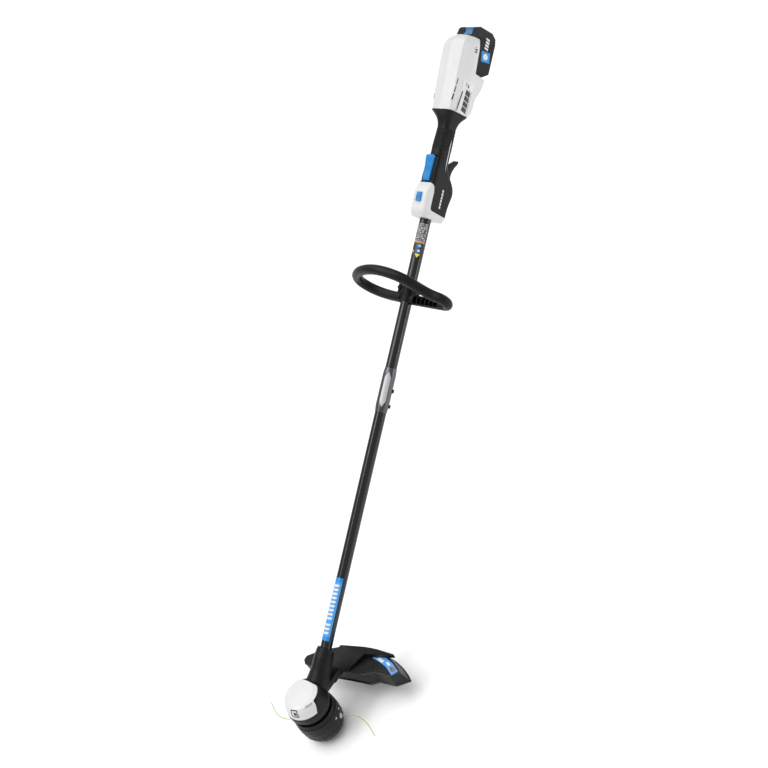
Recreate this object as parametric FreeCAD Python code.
"""Battery string trimmer, modelled in the pose of use.

Row frame, millimetres: +Z is up and is the spindle's axis, +X is forward, away from the user, and
+Y is the user's left. The origin is the lowest point of the bump knob, on the ground.

Pieces that sit on the shaft are modelled in the shaft's own frame and then placed: z is the
station, the distance up the shaft from where its axis meets the spindle's; x points to the top
side of the tool, square to the shaft, and y is the same as the row's +Y.
"""
import FreeCAD, Part
import math
import os

V = FreeCAD.Vector

# ---------------------------------------------------------------- driving dimensions (mm)
SHAFT_RISE = 34.5            # degrees between the shaft and the ground
SHAFT_MEETS_SPINDLE = 85.0   # height at which the shaft's axis crosses the spindle's

TUBE_DIA = 25.4
TUBE_WALL = 1.4
LOWER_TUBE_START = 74.0      # stations
TUBE_JOINT = 700.0
UPPER_TUBE_END = 1128.0
COUPLER_START = 653.0
COUPLER_LENGTH = 97.0
COUPLER_WALL = 1.9
SPIGOT_LENGTH = 120.0
SPIGOT_WALL = 1.5
CABLE_DIA = 6.0

RUN_CLEARANCE = 0.05         # radial, where a shaft or pin turns
PIECE_GAP = 0.3              # between pieces that move apart
SHELL_WALL = 2.4

DRUM_RADIUS = 50.5
DRUM_FOOT_RADIUS = 43.0
DRUM_BOTTOM = 13.0           # heights above the ground
DRUM_HEIGHT = 50.0
COLLAR_HEIGHT = 20.0
DRUM_WALL = 2.6
EXIT_HEIGHT = 46.0
EXIT_AZIMUTH = 116.0         # degrees from +X, seen from above
KNOB_RADIUS = 26.0
KNOB_TRAVEL = 6.0
HUB_RADIUS = 12.0
SPINDLE_DIA = 8.0
LINE_DIA = 2.0
SPOOL_RADIUS = 42.0
SPOOL_CORE_RADIUS = 22.0
SPOOL_HEIGHT = 40.0

POD_RADIUS = 49.0            # motor pod
POD_BOTTOM = 98.0
POD_HEIGHT = 47.0
COVER_EDGE_HEIGHT = 114.0
MOTOR_CAN_RADIUS = 30.0
MOTOR_CAN_WALL = 2.0
MOTOR_CAN_HEIGHT = 26.0
MOTOR_AIR_GAP = 0.6
STATOR_TEETH = 12

GUARD_BOTTOM = 50.0
GUARD_HEIGHT = 43.0
GUARD_FLARE = 10.0           # how far the foot of the rear wall stands out from its top
GUARD_WALL = 2.6
HOOD_RISE = 14.0

LOOP_STATION = 903.0
LOOP_LEAN = 21.0             # degrees that the loop leans up the shaft
LOOP_BAR_DIA = 22.0
CLAMP_START = 896.0
CLAMP_LENGTH = 40.0
CLAMP_WALL = 3.4

GRIP_START = 1230.0
GRIP_END = 1276.0
GRIP_SKIN = 2.0
NECK_END = 1312.0
HOUSING_END = 1478.0
HOUSING_WALL = 2.6

PACK_START = 1406.0
PACK_LENGTH = 99.0
PACK_WIDTH = 64.0
PACK_BOTTOM = -57.0
PACK_REAR_TOP = 3.0
PACK_TOP_FRONT = -15.5
PACK_TOP_REAR = -6.5
PACK_WALL = 2.2
RAIL_WIDTH = 44.0
RAIL_TOP = 8.0
CELL_DIA = 18.4
CELL_LENGTH = 65.0

TRIGGER_PIVOT = (1168.0, -33.0)    # station, height on the top side
TRIGGER_WIDTH = 12.0
LEVER_PIVOT = (1163.0, 16.5)
LEVER_WIDTH = 18.0
PIN_DIA = 5.0
PIN_HALF_LENGTH = 15.5
TRIGGER_SPRING_WIRE = 0.6
TRIGGER_SPRING_TURNS = 2
TRIGGER_SPRING_REACH = 0.5   # from the pin to the middle of the wire
HANDLE_SCREWS = ((1136.0, -30.0), (1216.0, 0.0), (1296.0, -8.0))
SWITCH_STATION = 1120.0
SWITCH_TRAVEL = 3.0
SWITCH_STEM_RADIUS = 2.2

HOUSING_SCREWS = ((1330.0, -12.0), (1380.0, 24.0), (1382.0, -34.0), (1452.0, 26.0))
CROSS_SCREW_HALF = 12.0      # of a handle screw
HOUSING_SCREW_HALF = 22.0
CROSS_SCREW_RADIUS = 1.9
VENT_START = 1333.5
VENT_PITCH = 16.6
VENT_LENGTH = 13.4
VENT_HEIGHTS = (32.4, 34.8)
VENT_COUNT = 3
BADGE_THICK = 0.6
BADGE_STATIONS = (1313.0, 1384.0)
BADGE_HEIGHTS = (-20.0, 18.0)

BIG = 400.0                  # larger than any piece that is cut with it

SHAFT_PLACEMENT = FreeCAD.Placement(
    V(0, 0, SHAFT_MEETS_SPINDLE), FreeCAD.Rotation(V(0, 1, 0), SHAFT_RISE - 90.0))


# ---------------------------------------------------------------- helpers
def save(name, shape):
    """Write one node."""
    shape.exportStep("parts/" + name + ".step")


def on_shaft(shape):
    """Place a shape that was modelled in the shaft's frame."""
    placed = shape.copy()
    placed.Placement = SHAFT_PLACEMENT.multiply(placed.Placement)
    return placed


def save_on_shaft(name, shape):
    """Place a shaft piece and write it."""
    save(name, on_shaft(shape))


def cylinder(radius, low, high, x=0.0, y=0.0):
    """A solid cylinder along z."""
    return Part.makeCylinder(radius, high - low, V(x, y, low))


def tube(outer, inner, low, high):
    """A tube about z."""
    return cylinder(outer, low, high).cut(cylinder(inner, low - 1.0, high + 1.0))


def box(x_range, y_range, z_range):
    """A box between pairs of limits."""
    size = [limits[1] - limits[0] for limits in (x_range, y_range, z_range)]
    return Part.makeBox(size[0], size[1], size[2], V(x_range[0], y_range[0], z_range[0]))


def cross_cylinder(radius, x, z, half_length):
    """A cylinder along y, centred on the middle plane."""
    return Part.makeCylinder(radius, 2.0 * half_length, V(x, -half_length, z), V(0, 1, 0))


def turned(profile):
    """A solid of revolution about z from (radius, height) points."""
    points = [V(r, 0, z) for r, z in profile]
    points.append(points[0])
    return Part.Face(Part.makePolygon(points)).revolve(V(0, 0, 0), V(0, 0, 1), 360.0)


def slab(profile, half_width):
    """A prism across y from (x, z) points, centred on the middle plane."""
    points = [V(x, -half_width, z) for x, z in profile]
    points.append(points[0])
    return Part.Face(Part.makePolygon(points)).extrude(V(0, 2.0 * half_width, 0))


def shaft_slab(profile, half_width):
    """As slab, from (station, top side) points in the shaft's frame."""
    return slab([(top, station) for station, top in profile], half_width)


def rounded_outline(corners, z):
    """A closed wire at height z from (x, y, radius) corners."""
    count = len(corners)
    rounds = []
    for index in range(count):
        x, y, radius = corners[index]
        here = V(x, y, z)
        before = (V(corners[index - 1][0], corners[index - 1][1], z) - here).normalize()
        after_corner = corners[(index + 1) % count]
        after = (V(after_corner[0], after_corner[1], z) - here).normalize()
        half_angle = before.getAngle(after) / 2.0
        reach = radius / math.tan(half_angle)
        to_centre = (before + after).normalize()
        middle = here + to_centre * (radius / math.sin(half_angle) - radius)
        rounds.append((here + before * reach, middle, here + after * reach))
    edges = []
    for index in range(count):
        start, middle, end = rounds[index]
        edges.append(Part.Arc(start, middle, end).toShape())
        edges.append(Part.LineSegment(end, rounds[(index + 1) % count][0]).toShape())
    return Part.Wire(edges)


def loft(wires):
    """A smooth solid through closed wires."""
    return Part.makeLoft(wires, True, False)


def left_half(shape):
    """The part of a shape on the user's left."""
    return shape.common(box((-2000, 2000), (0, BIG), (-2000, 2000)))


def right_half(shape):
    """The part of a shape on the user's right."""
    return shape.common(box((-2000, 2000), (-BIG, 0), (-2000, 2000)))


def tangent_path(points, radius_share=0.45):
    """Straight runs through points, joined by tangent arcs; returns the wire and the radii."""
    corners = []
    radii = []
    for index in range(1, len(points) - 1):
        here = points[index]
        back = points[index - 1] - here
        ahead = points[index + 1] - here
        reach = radius_share * min(back.Length, ahead.Length)
        half_turn = (math.pi - back.getAngle(ahead)) / 2.0
        radius = reach / math.tan(half_turn)
        back.normalize()
        ahead.normalize()
        to_centre = (back + ahead).normalize()
        middle = here + to_centre * (radius / math.cos(half_turn) - radius)
        corners.append((here + back * reach, middle, here + ahead * reach))
        radii.append(radius)
    edges = []
    last = points[0]
    for start, middle, end in corners:
        edges.append(Part.LineSegment(last, start).toShape())
        edges.append(Part.Arc(start, middle, end).toShape())
        last = end
    edges.append(Part.LineSegment(last, points[-1]).toShape())
    return Part.Wire(edges), radii


def round_bar(points, diameter):
    """A round bar that follows a tangent path; returns the solid and the path's radii."""
    path, radii = tangent_path(points)
    direction = points[1] - points[0]
    ring = Part.Wire(Part.makeCircle(diameter / 2.0, points[0], direction))
    bar = path.makePipeShell([ring], True, False)
    return bar, radii


def coil_spring(radius, wire, low, high, turns):
    """A helical compression spring about z."""
    pitch = (high - low - wire) / turns
    helix = Part.makeHelix(pitch, high - low - wire, radius)
    ring = Part.Wire(Part.makeCircle(wire / 2.0, V(radius, 0, 0), V(0, 1, 0)))
    spring = Part.Wire(helix).makePipeShell([ring], True, True)
    spring.translate(V(0, 0, low + wire / 2.0))
    return spring


# ---------------------------------------------------------------- shaft
TUBE_RADIUS = TUBE_DIA / 2.0
TUBE_BORE = TUBE_RADIUS - TUBE_WALL
COUPLER_END = COUPLER_START + COUPLER_LENGTH
COUPLER_RADIUS = TUBE_RADIUS + COUPLER_WALL
COUPLER_TAPER = 14.0
COUPLER_SCREW_STATIONS = (668.0, 702.0)
COUPLER_SCREW_TURN = 132.0   # degrees about the shaft from its top side, towards the left
SCREW_RADIUS = 2.5
SCREW_HEAD_RADIUS = 4.2
SCREW_HEAD_HEIGHT = 3.2


def coupler_screw(station):
    """A radial screw through the coupler, its head outside."""
    shank_start = TUBE_BORE - SPIGOT_WALL - 0.5
    turn = math.radians(COUPLER_SCREW_TURN)
    outwards = V(math.cos(turn), math.sin(turn), 0)
    foot = outwards * shank_start + V(0, 0, station)
    seat = outwards * COUPLER_RADIUS + V(0, 0, station)
    shank = Part.makeCylinder(SCREW_RADIUS, COUPLER_RADIUS - shank_start + 0.2, foot, outwards)
    head = Part.makeCylinder(SCREW_HEAD_RADIUS, SCREW_HEAD_HEIGHT, seat, outwards)
    return shank.fuse(head).removeSplitter()


def build_shaft():
    """The two tubes, the coupler that joins them and the cable inside."""
    screws = [coupler_screw(station) for station in COUPLER_SCREW_STATIONS]
    lower = tube(TUBE_RADIUS, TUBE_BORE, LOWER_TUBE_START, TUBE_JOINT)
    upper = tube(TUBE_RADIUS, TUBE_BORE, TUBE_JOINT, UPPER_TUBE_END)
    spigot_start = COUPLER_START - (SPIGOT_LENGTH - COUPLER_LENGTH) / 2.0
    spigot = tube(TUBE_BORE, TUBE_BORE - SPIGOT_WALL, spigot_start, spigot_start + SPIGOT_LENGTH)
    sleeve = turned([
        (TUBE_RADIUS, COUPLER_START), (TUBE_RADIUS + 0.5, COUPLER_START),
        (COUPLER_RADIUS, COUPLER_START + COUPLER_TAPER), (COUPLER_RADIUS, COUPLER_END - COUPLER_TAPER),
        (TUBE_RADIUS + 0.5, COUPLER_END), (TUBE_RADIUS, COUPLER_END)])
    for screw in screws:
        lower = lower.cut(screw)
        upper = upper.cut(screw)
        spigot = spigot.cut(screw)
        sleeve = sleeve.cut(screw)
    save_on_shaft("lower_tube", lower)
    save_on_shaft("upper_tube", upper)
    save_on_shaft("coupler_spigot", spigot)
    save_on_shaft("coupler_sleeve", sleeve)
    save_on_shaft("coupler_screws", Part.makeCompound(screws))
    save_on_shaft("motor_cable", cylinder(CABLE_DIA / 2.0, LOWER_TUBE_START + 4.0, UPPER_TUBE_END + 10.0))


# ---------------------------------------------------------------- head: motor pod
POD_TOP = POD_BOTTOM + POD_HEIGHT
SOCKET_TOP = 133.0           # stations along the shaft
SOCKET_TOP_RADIUS = 19.0
SOCKET_WAIST_RADIUS = 22.0
SOCKET_FOOT_RADIUS = 26.5
MOTOR_CAVITY_RADIUS = POD_RADIUS - 8.0
MOTOR_CAVITY_TOP = POD_TOP - 13.0
LUG_HALF_WIDTH = 19.0
LUG_REACH = -97.0
GUARD_TOP = GUARD_BOTTOM + GUARD_HEIGHT
LUG_HEIGHT = 14.0
MOTOR_BASE_BOTTOM = POD_BOTTOM - 9.0
MOTOR_BASE_STEP = 2.0        # how far the motor's base stands in from the pod's wall


def pod_body(inset=0.0):
    """The domed body over the motor, pulled in by inset."""
    radius = POD_RADIUS - inset
    top = POD_TOP - inset
    return turned([
        (0, POD_BOTTOM), (radius, POD_BOTTOM), (radius, COVER_EDGE_HEIGHT - 6.0),
        (radius - 2.5, COVER_EDGE_HEIGHT + 6.0), (radius - 6.0, top - 12.0),
        (radius - 11.0, top - 5.0), (radius - 19.0, top - 1.5), (0, top)])


def cover_space():
    """The space of the white cover: the front of the pod and all of its top."""
    return slab([
        (BIG, COVER_EDGE_HEIGHT), (14.0, COVER_EDGE_HEIGHT), (6.0, COVER_EDGE_HEIGHT + 13.0),
        (1.0, POD_TOP - 6.0), (-31.0, POD_TOP - 6.0), (-31.0, POD_TOP + 60.0), (BIG, POD_TOP + 60.0)], BIG)


def shaft_socket():
    """The socket that takes the lower tube, with a slanted mouth."""
    socket = turned([
        (0, 40.0), (SOCKET_FOOT_RADIUS, 40.0), (SOCKET_FOOT_RADIUS, 56.0), (SOCKET_WAIST_RADIUS, 84.0),
        (SOCKET_WAIST_RADIUS - 0.5, 112.0), (SOCKET_TOP_RADIUS, SOCKET_TOP - 3.0),
        (SOCKET_TOP_RADIUS - 2.0, SOCKET_TOP), (0, SOCKET_TOP)])
    mouth = shaft_slab([
        (SOCKET_TOP, 8.0), (SOCKET_TOP - 14.0, -30.0), (SOCKET_TOP + 30.0, -30.0),
        (SOCKET_TOP + 30.0, 8.0)], BIG)
    return on_shaft(socket.cut(mouth))


def build_motor_pod():
    """The black head housing in two halves, and the white cover over the motor."""
    pod = pod_body()
    lug = box((LUG_REACH, -40.0), (-LUG_HALF_WIDTH, LUG_HALF_WIDTH), (GUARD_TOP, GUARD_TOP + LUG_HEIGHT))
    housing = pod.fuse(shaft_socket()).fuse(lug)
    housing = housing.cut(cover_space().common(pod_body().fuse(box((-31, 80), (-60, 60), (110, 230)))))
    cavity = cylinder(MOTOR_CAVITY_RADIUS, POD_BOTTOM - 1.0, MOTOR_CAVITY_TOP)
    bore = on_shaft(cylinder(TUBE_RADIUS, LOWER_TUBE_START, SOCKET_TOP + 10.0))
    cable_way = on_shaft(cylinder(CABLE_DIA, 40.0, LOWER_TUBE_START + 1.0))
    base_space = cylinder(POD_RADIUS - MOTOR_BASE_STEP, MOTOR_BASE_BOTTOM - 1.0, POD_BOTTOM)
    housing = housing.cut(cavity).cut(bore).cut(cable_way).cut(base_space)
    housing = housing.cut(guard_screw_shanks())
    save("head_housing_left", left_half(housing))
    save("head_housing_right", right_half(housing))
    cover = pod.common(cover_space()).cut(pod_body(SHELL_WALL)).cut(cavity)
    save("motor_cover", cover)


# ---------------------------------------------------------------- head: motor
SPINDLE_RADIUS = SPINDLE_DIA / 2.0
SPINDLE_BOTTOM = 41.0
MOTOR_BASE_TOP = POD_BOTTOM + 2.5
CAN_BOTTOM = MOTOR_BASE_TOP + 1.5
CAN_TOP = CAN_BOTTOM + MOTOR_CAN_HEIGHT
MOUNT_TOP = MOTOR_CAVITY_TOP
MOUNT_THICK = 3.0
MOUNT_HUB_RADIUS = 10.5
BEARING_RADIUS = 8.0
BEARING_WIDTH = 6.0
MOUNT_SCREW_CIRCLE = 35.5


def around(shape, count, first=0.0):
    """Copies of a shape spaced evenly about z."""
    copies = []
    for index in range(count):
        copy = shape.copy()
        copy.rotate(V(0, 0, 0), V(0, 0, 1), first + 360.0 * index / count)
        copies.append(copy)
    return copies


def build_motor():
    """The outrunner motor: mount, stator, windings, rotor, magnets, spindle and bearings."""
    mount = cylinder(MOTOR_CAVITY_RADIUS, MOUNT_TOP - MOUNT_THICK, MOUNT_TOP)
    mount = mount.fuse(cylinder(MOUNT_HUB_RADIUS, CAN_BOTTOM + 4.5, MOUNT_TOP))
    mount = mount.cut(cylinder(SPINDLE_RADIUS + 1.5, CAN_BOTTOM, MOUNT_TOP + 1.0))
    lower_seat = CAN_BOTTOM + 4.5
    upper_seat = MOUNT_TOP - BEARING_WIDTH
    bearings = []
    for seat in (lower_seat, upper_seat):
        mount = mount.cut(cylinder(BEARING_RADIUS, seat, seat + BEARING_WIDTH))
        ring = tube(BEARING_RADIUS, SPINDLE_RADIUS + RUN_CLEARANCE, seat, seat + BEARING_WIDTH)
        bearings.append(ring)
    screw = cylinder(1.5, MOUNT_TOP - MOUNT_THICK, MOUNT_TOP, MOUNT_SCREW_CIRCLE)
    head_top = MOUNT_TOP - MOUNT_THICK
    screw = screw.fuse(cylinder(3.0, head_top - 2.2, head_top, MOUNT_SCREW_CIRCLE))
    screws = around(screw, 4, 45.0)
    for item in screws:
        mount = mount.cut(item)
    save("motor_mount", mount.removeSplitter())
    save("motor_bearings", Part.makeCompound(bearings))
    save("motor_screws", Part.makeCompound(screws))

    bore = MOTOR_CAN_RADIUS - MOTOR_CAN_WALL
    magnet_depth = 2.0
    stator_radius = bore - magnet_depth - MOTOR_AIR_GAP
    stack_low = CAN_BOTTOM + 6.0
    stack_high = CAN_TOP - 4.0
    core = tube(MOUNT_HUB_RADIUS + 4.5, MOUNT_HUB_RADIUS, stack_low, stack_high)
    tooth = box((MOUNT_HUB_RADIUS + 3.0, stator_radius - 1.0), (-1.6, 1.6), (stack_low, stack_high))
    shoe = tube(stator_radius, stator_radius - 1.8, stack_low, stack_high)
    shoe = shoe.common(box((0, BIG), (-5.4, 5.4), (0, BIG)))
    for item in around(tooth.fuse(shoe), STATOR_TEETH):
        core = core.fuse(item)
    save("motor_stator", core.removeSplitter())
    coil_heights = (stack_low - 1.6, stack_high + 1.6)
    coil = box((MOUNT_HUB_RADIUS + 5.6, stator_radius - 2.2), (-2.9, 2.9), coil_heights)
    coil = coil.cut(box((0, BIG), (-1.6, 1.6), (stack_low, stack_high)))
    save("motor_windings", Part.makeCompound(around(coil, STATOR_TEETH)))

    rotor = tube(MOTOR_CAN_RADIUS, bore, CAN_BOTTOM, CAN_TOP)
    rotor = rotor.fuse(tube(bore + 0.5, SPINDLE_RADIUS, CAN_BOTTOM, CAN_BOTTOM + 2.5))
    window = cylinder(4.5, CAN_BOTTOM - 1.0, CAN_BOTTOM + 3.0, 17.5)
    for item in around(window, 6):
        rotor = rotor.cut(item)
    save("motor_rotor", rotor.removeSplitter())
    magnet = tube(bore, bore - magnet_depth, stack_low, stack_high)
    magnet = magnet.common(box((0, BIG), (-4.8, 4.8), (0, BIG)))
    save("rotor_magnets", Part.makeCompound(around(magnet, 14)))
    save("spindle", cylinder(SPINDLE_RADIUS, SPINDLE_BOTTOM, MOUNT_TOP - 0.5))

    base = turned([
        (POD_RADIUS - 4.5, MOTOR_BASE_BOTTOM), (POD_RADIUS - MOTOR_BASE_STEP, POD_BOTTOM),
        (MOTOR_CAVITY_RADIUS, POD_BOTTOM), (MOTOR_CAVITY_RADIUS, MOTOR_BASE_TOP),
        (HUB_RADIUS, MOTOR_BASE_TOP), (HUB_RADIUS, MOTOR_BASE_BOTTOM)])
    save("motor_base", base)


# ---------------------------------------------------------------- head: drum, spool and knob
DRUM_TOP = DRUM_BOTTOM + DRUM_HEIGHT
COLLAR_TOP = DRUM_TOP + COLLAR_HEIGHT
EYELET_RADIUS = 4.6
SPOOL_BOTTOM = DRUM_BOTTOM + 5.0
SPOOL_TOP = SPOOL_BOTTOM + SPOOL_HEIGHT
FLANGE_THICK = 2.5


def exit_cylinder(radius, inner, outer):
    """A cylinder along the line's way out, between two distances from the spindle."""
    turn = math.radians(EXIT_AZIMUTH)
    outwards = V(math.cos(turn), math.sin(turn), 0)
    return Part.makeCylinder(radius, outer - inner, outwards * inner + V(0, 0, EXIT_HEIGHT), outwards)


def build_drum():
    """The drum's lower shell, its upper collar with the hub, and the metal eyelets."""
    belly = DRUM_BOTTOM + 0.75 * DRUM_HEIGHT
    shell = turned([
        (KNOB_RADIUS + PIECE_GAP, DRUM_BOTTOM), (DRUM_FOOT_RADIUS - 3.0, DRUM_BOTTOM),
        (DRUM_FOOT_RADIUS, DRUM_BOTTOM + 3.0), (DRUM_RADIUS - 2.0, DRUM_BOTTOM + 0.36 * DRUM_HEIGHT),
        (DRUM_RADIUS, belly), (DRUM_RADIUS - 0.4, DRUM_TOP), (DRUM_RADIUS - DRUM_WALL, DRUM_TOP),
        (DRUM_RADIUS - DRUM_WALL - 0.2, belly), (DRUM_FOOT_RADIUS + 1.0, DRUM_BOTTOM + 6.0),
        (DRUM_FOOT_RADIUS - 0.4, DRUM_BOTTOM + DRUM_WALL),
        (KNOB_RADIUS + PIECE_GAP, DRUM_BOTTOM + DRUM_WALL)])
    collar = turned([
        (HUB_RADIUS, COLLAR_TOP - 3.0), (DRUM_RADIUS - 6.0, COLLAR_TOP - 3.0),
        (DRUM_RADIUS - DRUM_WALL - 1.0, DRUM_TOP + 8.0), (DRUM_RADIUS - DRUM_WALL - 0.5, DRUM_TOP),
        (DRUM_RADIUS - 0.8, DRUM_TOP), (DRUM_RADIUS - 0.8, DRUM_TOP + 7.0),
        (DRUM_RADIUS - 2.6, DRUM_TOP + 8.5),
        (DRUM_RADIUS - 2.6, DRUM_TOP + 11.0), (DRUM_RADIUS - 1.2, DRUM_TOP + 12.5),
        (DRUM_RADIUS - 3.5, COLLAR_TOP), (SPINDLE_RADIUS, COLLAR_TOP),
        (SPINDLE_RADIUS, SPINDLE_BOTTOM + 5.0),
        (HUB_RADIUS, SPINDLE_BOTTOM + 5.0)])
    opening = exit_cylinder(EYELET_RADIUS, SPOOL_RADIUS, DRUM_RADIUS + 8.0)
    eyelet = exit_cylinder(EYELET_RADIUS, DRUM_RADIUS - DRUM_WALL - 0.6, DRUM_RADIUS + 0.6)
    eyelet = eyelet.fuse(exit_cylinder(EYELET_RADIUS + 1.2, DRUM_RADIUS + 0.2, DRUM_RADIUS + 1.2))
    line_way = exit_cylinder(LINE_DIA / 2.0 + 0.4, SPOOL_RADIUS, DRUM_RADIUS + 8.0)
    eyelet = eyelet.cut(line_way).removeSplitter()
    eyelets = around(eyelet, 2)
    for item in around(opening, 2):
        shell = shell.cut(item)
    for item in eyelets:
        shell = shell.cut(item)
    save("drum_shell", shell)
    save("drum_collar", collar)
    save("line_eyelets", Part.makeCompound(eyelets))


def build_spool():
    """The spool with its wound line, the bump knob, the knob's spring and the nut on the spindle."""
    low_flange_top = SPOOL_BOTTOM + FLANGE_THICK
    high_flange_low = SPOOL_TOP - FLANGE_THICK
    middle = (SPOOL_BOTTOM + SPOOL_TOP) / 2.0
    spool = tube(SPOOL_CORE_RADIUS, HUB_RADIUS + 1.0, SPOOL_BOTTOM, SPOOL_TOP)
    spool = spool.fuse(tube(SPOOL_CORE_RADIUS, HUB_RADIUS + RUN_CLEARANCE, SPINDLE_BOTTOM + 6.0, SPOOL_TOP))
    flanges = ((SPOOL_BOTTOM, low_flange_top), (middle - 1.0, middle + 1.0), (high_flange_low, SPOOL_TOP))
    for low, high in flanges:
        spool = spool.fuse(tube(SPOOL_RADIUS, SPOOL_CORE_RADIUS - 1.0, low, high))
    save("spool", spool.removeSplitter())
    wound = [tube(SPOOL_RADIUS - 4.0, SPOOL_CORE_RADIUS, low_flange_top, middle - 1.0),
             tube(SPOOL_RADIUS - 4.0, SPOOL_CORE_RADIUS, middle + 1.0, high_flange_low)]
    save("wound_line", Part.makeCompound(wound))
    knob_wall = 3.0
    knob_top = SPOOL_BOTTOM - PIECE_GAP
    knob = turned([
        (0, 0), (KNOB_RADIUS - 9.0, 0), (KNOB_RADIUS - 3.0, 1.6), (KNOB_RADIUS - 0.3, 5.0),
        (KNOB_RADIUS - 0.3, knob_top), (KNOB_RADIUS - knob_wall, knob_top), (KNOB_RADIUS - knob_wall, 5.5),
        (KNOB_RADIUS - 6.5, 4.0), (0, 4.0)])
    post = tube(HUB_RADIUS + 1.0 - PIECE_GAP, HUB_RADIUS - 3.0, 3.5, SPINDLE_BOTTOM - KNOB_TRAVEL)
    knob = knob.fuse(post)
    notch = cylinder(5.0, -1.0, knob_top - 2.0, KNOB_RADIUS + 2.0)
    for item in around(notch, 8):
        knob = knob.cut(item)
    save("bump_knob", knob.removeSplitter())
    spring_ends = (SPOOL_TOP + PIECE_GAP, COLLAR_TOP - 3.0 - PIECE_GAP)
    save("knob_spring", coil_spring(HUB_RADIUS + 3.5, 1.4, spring_ends[0], spring_ends[1], 4))
    nut_points = [V(6.5 * math.cos(math.pi * k / 3.0), 6.5 * math.sin(math.pi * k / 3.0), SPINDLE_BOTTOM)
                  for k in range(6)]
    nut = Part.Face(Part.makePolygon(nut_points + [nut_points[0]])).extrude(V(0, 0, 5.0))
    save("spindle_nut", nut.cut(cylinder(SPINDLE_RADIUS, 0, BIG)))


# The line's route out of the left eyelet, chosen by hand: it springs backwards and droops a little.
LINE_ROUTE = [
    V(-22.4, 45.9, EXIT_HEIGHT), V(-28.4, 58.6, 45.4), V(-34.8, 72.5, 44.3), V(-38.2, 89.0, 43.0),
    V(-35.4, 108.0, 41.5), V(-28.4, 126.5, 40.0), V(-17.0, 147.4, 38.0)]


def build_cutting_lines():
    """The two free ends of cutting line, alike after half a turn."""
    line, radii = round_bar(LINE_ROUTE, LINE_DIA)
    print("cutting line radii", [round(radius, 1) for radius in radii])
    lines = around(line, 2)
    save("cutting_line_left", lines[0])
    save("cutting_line_right", lines[1])


# ---------------------------------------------------------------- guard
GUARD_MIDDLE = (-60.0, 40.0)  # the guard's walls flare away from here
# Rear edge of the guard's top: ends and middles of two arcs, from the left corner round to the right.
GUARD_REAR = [(-147.0, 149.0), (-169.0, 95.0), (-172.0, 54.0), (-143.0, -32.0), (-97.0, -92.0)]
GUARD_FRONT = [(-88.0, -92.0), (-80.0, -83.0), (-80.0, -68.0), (-89.0, -34.0), (-97.0, -4.0), (-104.0, 30.0),
               (-112.0, 74.0), (-125.0, 90.0), (-131.0, 132.0)]
GUARD_SCREW_SPOTS = ((-88.0, -11.0), (-88.0, 11.0))
GUARD_SCREW_RADIUS = 2.0
HOOD_FRONT = LUG_REACH - 0.5
BLADE_SIZE = (15.0, 1.6, 36.0)
BLADE_BOTTOM = 36.5


def guard_outline(z, flare, wall):
    """The guard's closed outline at one height, its rear flared out and then pulled in by wall."""
    middle = V(GUARD_MIDDLE[0], GUARD_MIDDLE[1], z)
    rear = []
    for x, y in GUARD_REAR:
        point = V(x, y, z)
        rear.append(point + (point - middle).normalize() * flare)
    edges = [Part.Arc(rear[0], rear[1], rear[2]).toShape(), Part.Arc(rear[2], rear[3], rear[4]).toShape()]
    last = rear[4]
    for x, y in GUARD_FRONT:
        edges.append(Part.LineSegment(last, V(x, y, z)).toShape())
        last = V(x, y, z)
    edges.append(Part.LineSegment(last, rear[0]).toShape())
    outline = Part.Wire(edges)
    if wall:
        outline = outline.makeOffset2D(-wall, 2)
    return outline


def guard_body(wall, low, high):
    """A solid with the guard's flared shape between two heights."""
    def flare_at(z):
        return GUARD_FLARE * (GUARD_TOP - z) / GUARD_HEIGHT

    wires = [guard_outline(low, flare_at(low), wall), guard_outline(high, flare_at(high), wall)]
    return Part.makeLoft(wires, True, True)


def guard_screw_shanks():
    """The shanks of the guard's screws, up into the head housing's lug."""
    top = GUARD_TOP + LUG_HEIGHT - 3.0
    return Part.makeCompound([
        cylinder(GUARD_SCREW_RADIUS, GUARD_TOP - GUARD_WALL, top, x, y) for x, y in GUARD_SCREW_SPOTS])


def hood_body(drop, inset):
    """The raised hood on the guard, pulled in on all sides by inset."""
    low = GUARD_TOP - drop
    top = GUARD_TOP + HOOD_RISE - inset
    profile = slab([
        (HOOD_FRONT - inset, low), (HOOD_FRONT - inset, GUARD_TOP + 3.0 - inset), (-147.0, top),
        (-180.0, top - 5.0), (-180.0, low)], BIG)
    plan = [(-90.0, 27.0 - inset), (-149.0, 53.0 - inset), (-172.5, 119.0 - 4.0 * inset),
            (-175.0 + inset, 117.0 - 4.0 * inset), (-171.0 + inset, 70.0), (-161.5 + inset, 29.0),
            (-146.5 + inset, -17.0 + inset), (-137.0, -22.0 + inset), (-90.0, -22.0 + inset)]
    points = [V(x, y, low) for x, y in plan]
    prism = Part.Face(Part.makePolygon(points + [points[0]])).extrude(V(0, 0, HOOD_RISE + drop))
    return profile.common(prism)


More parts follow.
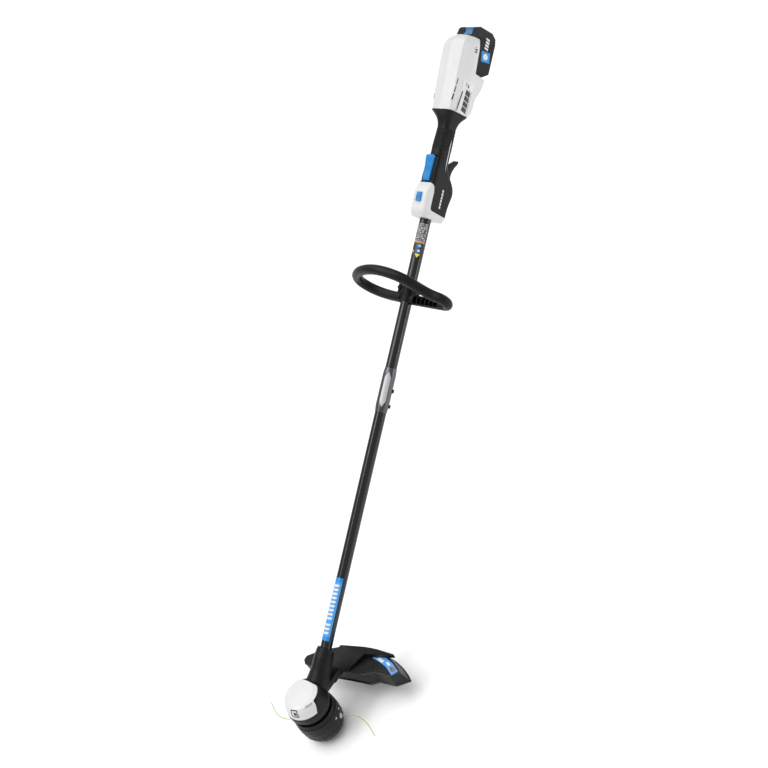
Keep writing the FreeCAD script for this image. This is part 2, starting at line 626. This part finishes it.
def build_guard():
    """The guard's skirt, the hood on it, its screws, and the blade that trims the line."""
    skirt = guard_body(0.0, GUARD_BOTTOM, GUARD_TOP)
    skirt = skirt.cut(guard_body(GUARD_WALL, GUARD_BOTTOM - 4.0, GUARD_TOP - GUARD_WALL))
    shanks = guard_screw_shanks()
    skirt = skirt.cut(shanks)
    tongue = box((LUG_REACH, -70.0), (-LUG_HALF_WIDTH, LUG_HALF_WIDTH), (GUARD_TOP - GUARD_WALL, GUARD_TOP))
    skirt = skirt.fuse(tongue.cut(shanks)).removeSplitter()
    hood = hood_body(0.0, 0.0).cut(hood_body(1.0, GUARD_WALL))
    screws = []
    for shank, (x, y) in zip(shanks.Solids, GUARD_SCREW_SPOTS):
        head = cylinder(SCREW_HEAD_RADIUS, GUARD_TOP - GUARD_WALL - 2.5, GUARD_TOP - GUARD_WALL, x, y)
        screws.append(shank.fuse(head))
    save("guard_skirt", build_line_cutter(skirt))
    save("guard_hood", hood)
    save("guard_screws", Part.makeCompound(screws))


def on_cutter_wall(shape):
    """Turn and move a shape from the blade's frame to the guard's left front wall."""
    start = V(GUARD_FRONT[-2][0], GUARD_FRONT[-2][1], 0)
    end = V(GUARD_FRONT[-1][0], GUARD_FRONT[-1][1], 0)
    along = (end - start).normalize()
    inwards = V(-along.y, along.x, 0)
    placed = shape.copy()
    spot = start + along * 20.0 + inwards * GUARD_WALL + V(0, 0, BLADE_BOTTOM)
    placed.Placement = FreeCAD.Placement(spot, FreeCAD.Rotation(V(1, 0, 0), along))
    return placed


def build_line_cutter(skirt):
    """The steel blade inside the guard's front wall, with two screws; returns the drilled skirt."""
    width, thick, height = BLADE_SIZE
    points = [V(-width / 2.0, 0, 12.0), V(width / 2.0 - 3.0, 0, 0), V(width / 2.0, 0, 3.0),
              V(width / 2.0, 0, height), V(-width / 2.0, 0, height)]
    blade = Part.Face(Part.makePolygon(points + [points[0]])).extrude(V(0, thick, 0))
    screws = []
    for level in (height - 16.0, height - 6.0):
        screw = Part.makeCylinder(1.6, 6.0, V(0, -1.5, level), V(0, 1, 0))
        head = Part.makeCylinder(3.0, 1.8, V(0, thick, level), V(0, 1, 0))
        screws.append(screw.common(box((-9, 9), (-1.5, thick), (0, 60))).fuse(head))
        blade = blade.cut(screws[-1])
    save("line_cutter", on_cutter_wall(blade))
    placed_screws = [on_cutter_wall(screw) for screw in screws]
    save("cutter_screws", Part.makeCompound(placed_screws))
    for screw in placed_screws:
        skirt = skirt.cut(screw)
    return skirt


# ---------------------------------------------------------------- loop handle
CLAMP_END = CLAMP_START + CLAMP_LENGTH
CLAMP_BORE = TUBE_RADIUS + RUN_CLEARANCE
CLAMP_RADIUS = CLAMP_BORE + CLAMP_WALL
CLAMP_SPLIT = 0.4            # half the gap between the loop's saddle and its cap
EAR_HALF_HEIGHT = 7.0
EAR_REACH = 26.0
BOLT_STATION = 925.0
BOLT_OFFSET = 20.5
BOLT_RADIUS = 2.5
# Middle line of the loop's bar: (top side, left), from the clamp's right round to its left.
LOOP_ROUTE = [(2.0, -13.0), (4.0, -44.0), (11.0, -71.0), (25.0, -93.0), (46.0, -106.0), (69.0, -97.0),
              (87.0, -74.0), (99.0, -46.0), (105.0, -15.0), (102.0, 15.0), (91.0, 42.0), (74.0, 62.0),
              (53.0, 76.0), (35.0, 93.0), (26.0, 114.3), (12.5, 122.1), (-1.0, 114.3), (-1.5, 90.0),
              (-1.0, 46.0), (0.0, 13.0)]


def loop_point(top, left):
    """A point of the loop's leaning plane, in the shaft's frame."""
    return V(top, left, LOOP_STATION + top * math.tan(math.radians(LOOP_LEAN)))


def handle_bolt(side):
    """A clamp bolt with its nut, on one side of the shaft."""
    y = side * BOLT_OFFSET
    length = 2.0 * EAR_HALF_HEIGHT
    shank = Part.makeCylinder(BOLT_RADIUS, length, V(-EAR_HALF_HEIGHT, y, BOLT_STATION), V(1, 0, 0))
    head = Part.makeCylinder(4.5, 4.0, V(EAR_HALF_HEIGHT, y, BOLT_STATION), V(1, 0, 0))
    nut = Part.makeCylinder(4.4, 3.6, V(-EAR_HALF_HEIGHT - 3.6, y, BOLT_STATION), V(1, 0, 0))
    return shank.fuse(head).fuse(nut)


def build_loop_handle():
    """The loop with its saddle, the cap under the shaft, and the two clamp bolts."""
    bar, radii = round_bar([loop_point(top, left) for top, left in LOOP_ROUTE], LOOP_BAR_DIA)
    print("loop handle radii", [round(radius, 1) for radius in radii])
    pocket = box((-6.0, 40.0), (24.0, 92.0), (LOOP_STATION - 7.5, LOOP_STATION + 7.5))
    pocket = pocket.cut(box((11.5, 60.0), (0, 120.0), (0, 2000)))
    rib_gap = 11.5
    for index in range(1, 6):
        y = 24.0 + index * rib_gap
        pocket = pocket.cut(box((-8.0, 60.0), (y - 0.8, y + 0.8), (0, 2000)))
    bar = bar.cut(pocket)
    sleeve = cylinder(CLAMP_RADIUS, CLAMP_START, CLAMP_END)
    ear_stations = (CLAMP_START + 14.0, CLAMP_END - 2.0)
    ears = box((-EAR_HALF_HEIGHT, EAR_HALF_HEIGHT), (-EAR_REACH, EAR_REACH), ear_stations)
    body = sleeve.fuse(ears)
    bolts = [handle_bolt(1.0), handle_bolt(-1.0)]
    bore = cylinder(CLAMP_BORE, CLAMP_START - 60.0, CLAMP_END + 60.0)
    above = box((CLAMP_SPLIT, BIG), (-BIG, BIG), (0, 2000))
    below = box((-BIG, -CLAMP_SPLIT), (-BIG, BIG), (0, 2000))
    cap_space = below.common(cylinder(CLAMP_RADIUS + 1.0, CLAMP_START, CLAMP_END).fuse(ears))
    loop = bar.cut(cap_space).fuse(body.common(above)).cut(bore)
    cap = body.common(below).cut(bore).cut(bar.common(box((-BIG, BIG), (-BIG, BIG), (0, CLAMP_START))))
    for bolt in bolts:
        loop = loop.cut(bolt)
        cap = cap.cut(bolt)
    save_on_shaft("loop_handle", loop.removeSplitter())
    save_on_shaft("clamp_cap", cap.removeSplitter())
    save_on_shaft("clamp_bolts", Part.makeCompound(bolts))


# ---------------------------------------------------------------- rear handle
# Stations of the handle's body: (station, top side, under side, half width, corner radius).
HANDLE_SECTIONS = [
    (1079.0, 30.0, -35.5, 20.5, 9.0), (1087.0, 34.0, -40.0, 21.8, 10.0), (1103.0, 36.0, -42.0, 22.0, 10.0),
    (1126.0, 37.0, -45.0, 22.0, 10.0), (1143.0, 33.5, -48.5, 22.0, 10.0), (1154.0, 27.5, -48.0, 21.0, 10.0),
    (1164.0, 24.5, -43.5, 20.0, 10.0), (1176.0, 23.0, -33.5, 18.8, 10.0), (1188.0, 22.3, -24.0, 17.5, 11.0),
    (1204.0, 22.0, -19.8, 17.0, 12.0), (1222.0, 21.8, -19.6, 16.8, 12.3), (1240.0, 21.3, -19.4, 16.6, 12.4),
    (1260.0, 20.2, -19.0, 16.5, 12.5), (1276.0, 19.4, -18.7, 16.8, 12.5), (1292.0, 22.5, -21.0, 19.0, 13.0),
    (1303.0, 29.0, -26.0, 24.0, 14.0), (NECK_END, 37.5, -31.0, 30.0, 15.0)]
SWITCH_BODY_UNDER = -17.5
TRIGGER_SLOT = (1160.5, 1197.0)
LEVER_SLOT = (1156.5, 1216.0)
MOUTH_GRIP = 14.0            # length of tube that the handle's front end holds


def handle_section(section, inset):
    """One rounded section of the handle's body, pulled in by inset."""
    station, top, under, half, radius = section
    edge_radius = radius - inset
    return rounded_outline([
        (top - inset, half - inset, edge_radius), (under + inset, half - inset, edge_radius),
        (under + inset, inset - half, edge_radius), (top - inset, inset - half, edge_radius)], station)


def handle_body(inset):
    """The handle's body as a solid, pulled in by inset."""
    return loft([handle_section(section, inset) for section in HANDLE_SECTIONS])


def front_cover_space():
    """The space of the white front cover: the front end and the top in front of the grip."""
    return shaft_slab([
        (1060.0, -BIG), (1092.0, -BIG), (1092.0, -30.0), (1096.0, 14.0), (1101.0, 18.0), (1136.0, 18.5),
        (1146.0, 21.0), (1152.0, 25.0), (1155.5, 30.0), (1157.0, BIG), (1060.0, BIG)], BIG)


def shell_bridge(low, high, top, under, half):
    """A cross wall inside the handle, between two stations."""
    return box((under, top), (-half, half), (low, high))


def build_handle():
    """The two black handle halves, the white front cover and the soft grip sleeve."""
    outer = handle_body(0.0)
    hollow = handle_body(SHELL_WALL)
    mouth = shell_bridge(1079.0, 1079.0 + MOUTH_GRIP, 45.0, -50.0, 30.0)
    shell = outer.cut(hollow.cut(mouth))
    pin_bosses = cross_cylinder(PIN_DIA / 2.0 + 2.5, TRIGGER_PIVOT[1], TRIGGER_PIVOT[0], 30.0)
    pin_bosses = pin_bosses.fuse(cross_cylinder(PIN_DIA / 2.0 + 2.5, LEVER_PIVOT[1], LEVER_PIVOT[0], 30.0))
    clear_width = LEVER_WIDTH / 2.0 + PIECE_GAP
    pin_bosses = pin_bosses.cut(box((-BIG, BIG), (-clear_width, clear_width), (0, 2000))).common(outer)
    brackets = box((-12.0, -8.0), (-30.0, 30.0), (1178.0, 1188.0)).common(outer).cut(trigger_switch_body())
    shell = shell.fuse(pin_bosses).fuse(brackets)
    shell = shell.cut(cylinder(TUBE_RADIUS, 1000.0, UPPER_TUBE_END))
    for pivot in (TRIGGER_PIVOT, LEVER_PIVOT):
        shell = shell.cut(cross_cylinder(PIN_DIA / 2.0, pivot[1], pivot[0], 15.5))
    trigger_half = TRIGGER_WIDTH / 2.0 + 0.6
    lever_half = LEVER_WIDTH / 2.0 + 0.5
    shell = shell.cut(box((-70.0, -12.0), (-trigger_half, trigger_half), TRIGGER_SLOT))
    shell = shell.cut(box((8.0, 60.0), (-lever_half, lever_half), LEVER_SLOT))
    cover = shell.common(front_cover_space())
    slot_half = SWITCH_TRAVEL + SWITCH_STEM_RADIUS + 0.5
    cover = cover.cut(box((20.0, 60.0), (-SWITCH_STEM_RADIUS - 0.4, SWITCH_STEM_RADIUS + 0.4),
                          (SWITCH_STATION - slot_half, SWITCH_STATION + slot_half)))
    black = shell.cut(front_cover_space())
    grip_zone = tube(60.0, 1.0, GRIP_START, GRIP_END)
    sleeve = outer.cut(handle_body(GRIP_SKIN)).common(grip_zone)
    black = black.cut(sleeve)
    black = black.cut(rear_screw_shanks())
    save_on_shaft("front_cover", cover)
    save_on_shaft("handle_left", left_half(black))
    save_on_shaft("handle_right", right_half(black))
    save_on_shaft("grip_sleeve", sleeve)


def cross_screw(station, top, half_length):
    """A screw across the tool with its head on the right."""
    shank = cross_cylinder(CROSS_SCREW_RADIUS, top, station, half_length)
    head = Part.makeCylinder(3.4, 2.4, V(top, -half_length - 2.4, station), V(0, 1, 0))
    return shank.fuse(head)


def rear_screw_shanks():
    """The space of the handle's screws."""
    return Part.makeCompound([cross_screw(station, top, CROSS_SCREW_HALF) for station, top in HANDLE_SCREWS])


# ---------------------------------------------------------------- trigger, lock-off lever, speed switch
def pivoted(profile, width, pivot):
    """A flat lever across the middle plane, bored for its pin."""
    lever = shaft_slab(profile, width / 2.0)
    boss = cross_cylinder(PIN_DIA / 2.0 + 2.6, pivot[1], pivot[0], width / 2.0)
    lever = lever.fuse(boss).removeSplitter()
    return lever.cut(cross_cylinder(PIN_DIA / 2.0 + RUN_CLEARANCE, pivot[1], pivot[0], width))


def hinge_pin(pivot):
    """The steel pin of a lever."""
    return cross_cylinder(PIN_DIA / 2.0, pivot[1], pivot[0], PIN_HALF_LENGTH)


def softened(shape, radius, top_range):
    """Round a lever's long side edges between two heights on the top side."""
    edges = []
    for edge in shape.Edges:
        bounds = edge.BoundBox
        along_side = bounds.YLength < 0.01
        if along_side and top_range[0] < bounds.XMin and bounds.XMax < top_range[1]:
            edges.append(edge)
    return shape.makeFillet(radius, edges)


def trigger_switch_body():
    """The body of the switch above the trigger."""
    return box((SWITCH_BODY_UNDER, -5.0), (-6.0, 6.0), (1174.0, 1192.0))


def build_trigger():
    """The trigger, its pin, its return spring and the switch that it works."""
    trigger = pivoted([
        (1162.5, -38.0), (1163.5, -46.0), (1170.0, -45.5), (1178.0, -43.0), (1187.0, -41.5), (1196.0, -43.5),
        (1205.0, -48.0), (1213.0, -54.0), (1219.0, -57.5), (1223.0, -56.0), (1222.0, -51.0), (1215.0, -42.0),
        (1206.0, -34.0), (1197.0, -28.0), (1188.0, -24.0), (1176.0, -25.0), (1166.0, -28.0)],
        TRIGGER_WIDTH, TRIGGER_PIVOT)
    save_on_shaft("trigger", softened(trigger, 1.5, (-58.5, -41.0)))
    save_on_shaft("trigger_pin", hinge_pin(TRIGGER_PIVOT))
    switch = trigger_switch_body()
    switch = switch.fuse(box((SWITCH_BODY_UNDER - 2.0, SWITCH_BODY_UNDER), (-2.0, 2.0), (1184.0, 1188.0)))
    save_on_shaft("trigger_switch", switch.removeSplitter())
    spring = coil_spring(
        PIN_DIA / 2.0 + TRIGGER_SPRING_REACH, TRIGGER_SPRING_WIRE, TRIGGER_WIDTH / 2.0 + PIECE_GAP,
        LEVER_WIDTH / 2.0, TRIGGER_SPRING_TURNS)
    spring.rotate(V(0, 0, 0), V(1, 0, 0), -90.0)
    spring.translate(V(TRIGGER_PIVOT[1], 0, TRIGGER_PIVOT[0]))
    save_on_shaft("trigger_spring", spring)


def build_lever():
    """The blue lock-off lever and its pin."""
    lever = pivoted([
        (1159.0, 12.0), (1157.3, 26.0), (1158.5, 29.5), (1164.0, 30.8), (1181.0, 32.5), (1200.0, 35.0),
        (1209.0, 36.8), (1213.0, 35.0), (1213.4, 29.5), (1211.0, 24.0), (1190.0, 20.5), (1174.0, 17.5),
        (1166.0, 12.0)],
        LEVER_WIDTH, LEVER_PIVOT)
    save_on_shaft("lockoff_lever", softened(lever, 1.8, (30.0, 38.0)))
    save_on_shaft("lockoff_pin", hinge_pin(LEVER_PIVOT))


def build_switches():
    """The speed switch, its base, the control board and the cross screws."""
    plate = box((37.6, 40.6), (-6.5, 6.5), (SWITCH_STATION - 10.0, SWITCH_STATION + 10.0))
    plate = plate.makeFillet(1.2, [edge for edge in plate.Edges if edge.BoundBox.XMin > 40.1])
    ridge = box((40.5, 42.0), (-6.0, 6.0), (SWITCH_STATION - 1.2, SWITCH_STATION + 1.2))
    stem = Part.makeCylinder(SWITCH_STEM_RADIUS, 8.0, V(29.8, 0, SWITCH_STATION), V(1, 0, 0))
    save_on_shaft("speed_switch", plate.fuse(ridge).fuse(stem).removeSplitter())
    base = box((10.0, 29.5), (-8.0, 8.0), (SWITCH_STATION - 12.0, SWITCH_STATION + 7.5))
    save_on_shaft("speed_switch_base", base.cut(cylinder(TUBE_RADIUS, 1000.0, UPPER_TUBE_END)))
    board = box((6.0, 8.0), (-60.0, 60.0), (1330.0, 1396.0)).common(housing_body(HOUSING_WALL))
    for station, across in ((1345.0, -10.0), (1345.0, 8.0), (1368.0, -2.0)):
        board = board.fuse(box((8.0, 16.0), (across - 5.0, across + 5.0), (station - 6.0, station + 6.0)))
    save_on_shaft("control_board", board.removeSplitter())
    save_on_shaft("handle_screws", rear_screw_shanks())


# ---------------------------------------------------------------- rear housing
# Sections: (station, ridge, shoulder top, shoulder half, side half, under corner, under half).
HOUSING_SECTIONS = [
    (NECK_END, 39.0, 33.0, 25.5, 31.5, -31.0, 25.0), (1325.0, 39.5, 34.0, 26.0, 32.0, -38.0, 25.5),
    (1345.0, 40.5, 35.0, 27.0, 33.0, -41.0, 25.5), (1362.0, 41.5, 36.0, 28.0, 33.5, -44.5, 25.5),
    (1388.0, 43.5, 38.0, 28.7, 34.2, -56.5, 25.0), (1402.0, 44.5, 38.5, 29.0, 34.4, -58.5, 24.5),
    (1440.0, 46.0, 39.5, 29.0, 34.5, -59.0, 24.5), (1456.0, 45.0, 38.5, 28.3, 34.4, -59.0, 24.5),
    (1468.0, 39.5, 33.0, 25.0, 33.0, -58.0, 24.0), (HOUSING_END, 29.0, 23.0, 19.0, 31.0, -57.0, 23.0)]


def housing_section(section, inset):
    """One faceted section of the rear housing, pulled in by inset."""
    station, ridge, shoulder, shoulder_half, side_half, under, under_half = section
    bottom = under - 4.0
    half = [(ridge - inset, 0.0, 24.0), (shoulder - inset, shoulder_half - inset, 5.0),
            (2.0, side_half - inset, 30.0), (under + inset, under_half - inset, 7.0),
            (bottom + inset, under_half - 12.0 - inset, 6.0)]
    mirrored = [(x, -y, radius) for x, y, radius in reversed(half[1:])]
    return rounded_outline(half + mirrored, station)


def housing_body(inset):
    """The rear housing as a solid, pulled in by inset."""
    return loft([housing_section(section, inset) for section in HOUSING_SECTIONS])


def pack_space(gap):
    """The space of the battery, grown by gap, open to the rear."""
    rear = HOUSING_END + 40.0
    body = shaft_slab([
        (PACK_START - gap, -BIG), (PACK_START - gap, PACK_TOP_FRONT + gap),
        (HOUSING_END, PACK_TOP_REAR + gap), (rear, PACK_TOP_REAR + gap), (rear, -BIG)], BIG)
    rails = box((-30.0, RAIL_TOP + gap), (-RAIL_WIDTH / 2.0 - gap, RAIL_WIDTH / 2.0 + gap),
                (PACK_START + 6.0 - gap, rear))
    return body.fuse(rails)


def build_badges():
    """The two thin side badges that follow the housing's flanks."""
    skin = housing_body(-BADGE_THICK).cut(housing_body(0.0))
    left = skin.common(box(BADGE_HEIGHTS, (0, BIG), BADGE_STATIONS))
    right = skin.common(box(BADGE_HEIGHTS, (-BIG, 0), BADGE_STATIONS))
    save_on_shaft("side_badges", Part.makeCompound([left, right]))


def terminal_blades(gap):
    """The flat contacts that plug into the battery, grown by gap."""
    blades = []
    for y in (-9.0, 0.0, 9.0):
        blades.append(box((-2.5 - gap, 4.5 + gap), (y - 0.5 - gap, y + 0.5 + gap),
                          (PACK_START + 14.0, PACK_START + 34.0 + gap)))
    return Part.makeCompound(blades)


def rail_tongue(side):
    """A tongue along the bay's side wall that guides one rail of the battery."""
    inner = RAIL_WIDTH / 2.0 - 3.6
    tongue = box((-5.2, 1.2), (inner, RAIL_WIDTH / 2.0 + 1.5), (PACK_START + 26.0, HOUSING_END - 6.0))
    if side < 0:
        tongue = tongue.mirror(V(0, 0, 0), V(0, 1, 0))
    return tongue


def build_rear_housing():
    """The white rear housing in two halves, with the battery's bay and cooling slots."""
    outer = housing_body(0.0)
    shell = outer.cut(housing_body(HOUSING_WALL))
    lining = outer.common(pack_space(PIECE_GAP + HOUSING_WALL)).cut(pack_space(PIECE_GAP))
    shell = shell.fuse(lining.common(box((-BIG, BIG), (-BIG, BIG), (0, HOUSING_END))))
    shell = shell.cut(pack_space(PIECE_GAP))
    shell = shell.fuse(rail_tongue(1)).fuse(rail_tongue(-1))
    for index in range(VENT_COUNT):
        low = VENT_START + index * VENT_PITCH
        slot = box(VENT_HEIGHTS, (-60.0, 60.0), (low, low + VENT_LENGTH))
        shell = shell.cut(slot)
    screws = [cross_screw(station, top, HOUSING_SCREW_HALF) for station, top in HOUSING_SCREWS]
    shell = shell.cut(Part.makeCompound(screws))
    save_on_shaft("rear_housing_left", left_half(shell))
    save_on_shaft("rear_housing_right", right_half(shell))
    save_on_shaft("housing_screws", Part.makeCompound(screws))
    bay_front = PACK_START + 6.0 - PIECE_GAP
    terminal = box((-4.0, 6.0), (-14.0, 14.0), (bay_front, bay_front + 9.0)).fuse(terminal_blades(0.0))
    save_on_shaft("terminal_block", terminal.removeSplitter())


# ---------------------------------------------------------------- battery
PACK_END = PACK_START + PACK_LENGTH
PACK_HALF = PACK_WIDTH / 2.0
PACK_SPLIT = -30.0
REAR_BLOCK_START = HOUSING_END + 0.8
LATCH_HALF = 11.0
LATCH_TRAVEL = 2.5


def pack_body(inset):
    """The battery's body without its rails, pulled in by inset."""
    slope_end = REAR_BLOCK_START + inset
    side = shaft_slab([
        (PACK_START + inset, PACK_BOTTOM + 16.0), (PACK_START + 4.0 + inset, PACK_TOP_FRONT - 4.0 - inset),
        (PACK_START + 9.0, PACK_TOP_FRONT - inset), (HOUSING_END, PACK_TOP_REAR - inset),
        (slope_end, PACK_TOP_REAR - inset), (slope_end, PACK_REAR_TOP - inset),
        (PACK_END - 5.0, PACK_REAR_TOP - inset), (PACK_END - inset, PACK_REAR_TOP - 5.0),
        (PACK_END - inset, PACK_BOTTOM + 12.0), (PACK_END - 9.0 - inset, PACK_BOTTOM + inset),
        (PACK_START + 12.0, PACK_BOTTOM + inset)], BIG)
    half = PACK_HALF - inset
    plan_points = [(PACK_START, half - 5.0), (PACK_START + 8.0, half), (PACK_END - 22.0, half),
                   (PACK_END, half - 5.0)]
    points = [V(-BIG, y, station) for station, y in plan_points]
    points += [V(-BIG, -y, station) for station, y in reversed(plan_points)]
    plan = Part.Face(Part.makePolygon(points + [points[0]])).extrude(V(2.0 * BIG, 0, 0))
    return side.common(plan)


def latch_space(gap):
    """The space of the latch button on the rear block's top."""
    return box((-14.0, PACK_REAR_TOP + 10.0), (-LATCH_HALF - gap, LATCH_HALF + gap),
               (PACK_END - 18.0 - gap, PACK_END + 10.0))


def build_battery():
    """The battery: case, cover with rails, cells, terminals and latch button."""
    outer = pack_body(0.0)
    hollow = pack_body(PACK_WALL)
    shell = outer.cut(hollow)
    above = box((PACK_SPLIT, BIG), (-BIG, BIG), (0, 2000))
    below = box((-BIG, PACK_SPLIT), (-BIG, BIG), (0, 2000))
    rails = box((PACK_TOP_FRONT, RAIL_TOP), (-RAIL_WIDTH / 2.0, RAIL_WIDTH / 2.0),
                (PACK_START + 22.0, HOUSING_END))
    rails = rails.cut(shaft_slab([(PACK_START, PACK_TOP_FRONT - 30.0), (PACK_START, PACK_TOP_FRONT - 0.9),
                                  (HOUSING_END + 5.0, PACK_TOP_REAR), (HOUSING_END + 5.0, -60.0)], BIG))
    groove = box((-5.5, 1.5), (RAIL_WIDTH / 2.0 - 4.0, RAIL_WIDTH), (0, 2000))
    rails = rails.cut(groove).cut(groove.mirror(V(0, 0, 0), V(0, 1, 0)))
    rails = rails.cut(terminal_blades(PIECE_GAP))
    latch_well = latch_space(PIECE_GAP).common(box((-16.0, BIG), (-BIG, BIG), (0, 2000)))
    well_wall = 1.6
    lining = box((-14.0 - well_wall, PACK_REAR_TOP), (-LATCH_HALF - PIECE_GAP - well_wall,
                                                     LATCH_HALF + PIECE_GAP + well_wall),
                 (PACK_END - 18.0 - PIECE_GAP - well_wall, PACK_END)).common(outer)
    cover = shell.fuse(lining).common(above).fuse(rails).cut(latch_well)
    save_on_shaft("pack_case", shell.common(below))
    save_on_shaft("pack_cover", cover.removeSplitter())
    well_floor = box((-BIG, LATCH_TRAVEL + 1.0 - 14.0), (-BIG, BIG), (0, 2000))
    latch = latch_space(0.0).common(pack_body(0.0)).cut(well_floor)
    thumb_hollow = Part.makeCylinder(9.0, 60.0, V(PACK_REAR_TOP + 6.5, -30.0, PACK_END - 9.0), V(0, 1, 0))
    latch = latch.cut(thumb_hollow)
    save_on_shaft("pack_latch", latch)
    first_cell = PACK_START + 13.0
    rows = ((PACK_BOTTOM + PACK_WALL + CELL_DIA / 2.0 + 0.4, (-CELL_DIA, 0.0, CELL_DIA)),
            (PACK_BOTTOM + PACK_WALL + CELL_DIA * 1.36 + 0.4, (-CELL_DIA / 2.0, CELL_DIA / 2.0)))
    cells = []
    for height, places in rows:
        for y in places:
            cells.append(cylinder(CELL_DIA / 2.0 - 0.15, first_cell, first_cell + CELL_LENGTH, height, y))
    save_on_shaft("battery_cells", Part.makeCompound(cells))


# ---------------------------------------------------------------- build everything
def main():
    """Build every node."""
    os.makedirs("parts", exist_ok=True)
    build_shaft()
    build_motor_pod()
    build_motor()
    build_drum()
    build_spool()
    build_cutting_lines()
    build_guard()
    build_loop_handle()
    build_handle()
    build_trigger()
    build_lever()
    build_switches()
    build_rear_housing()
    build_badges()
    build_battery()


main()
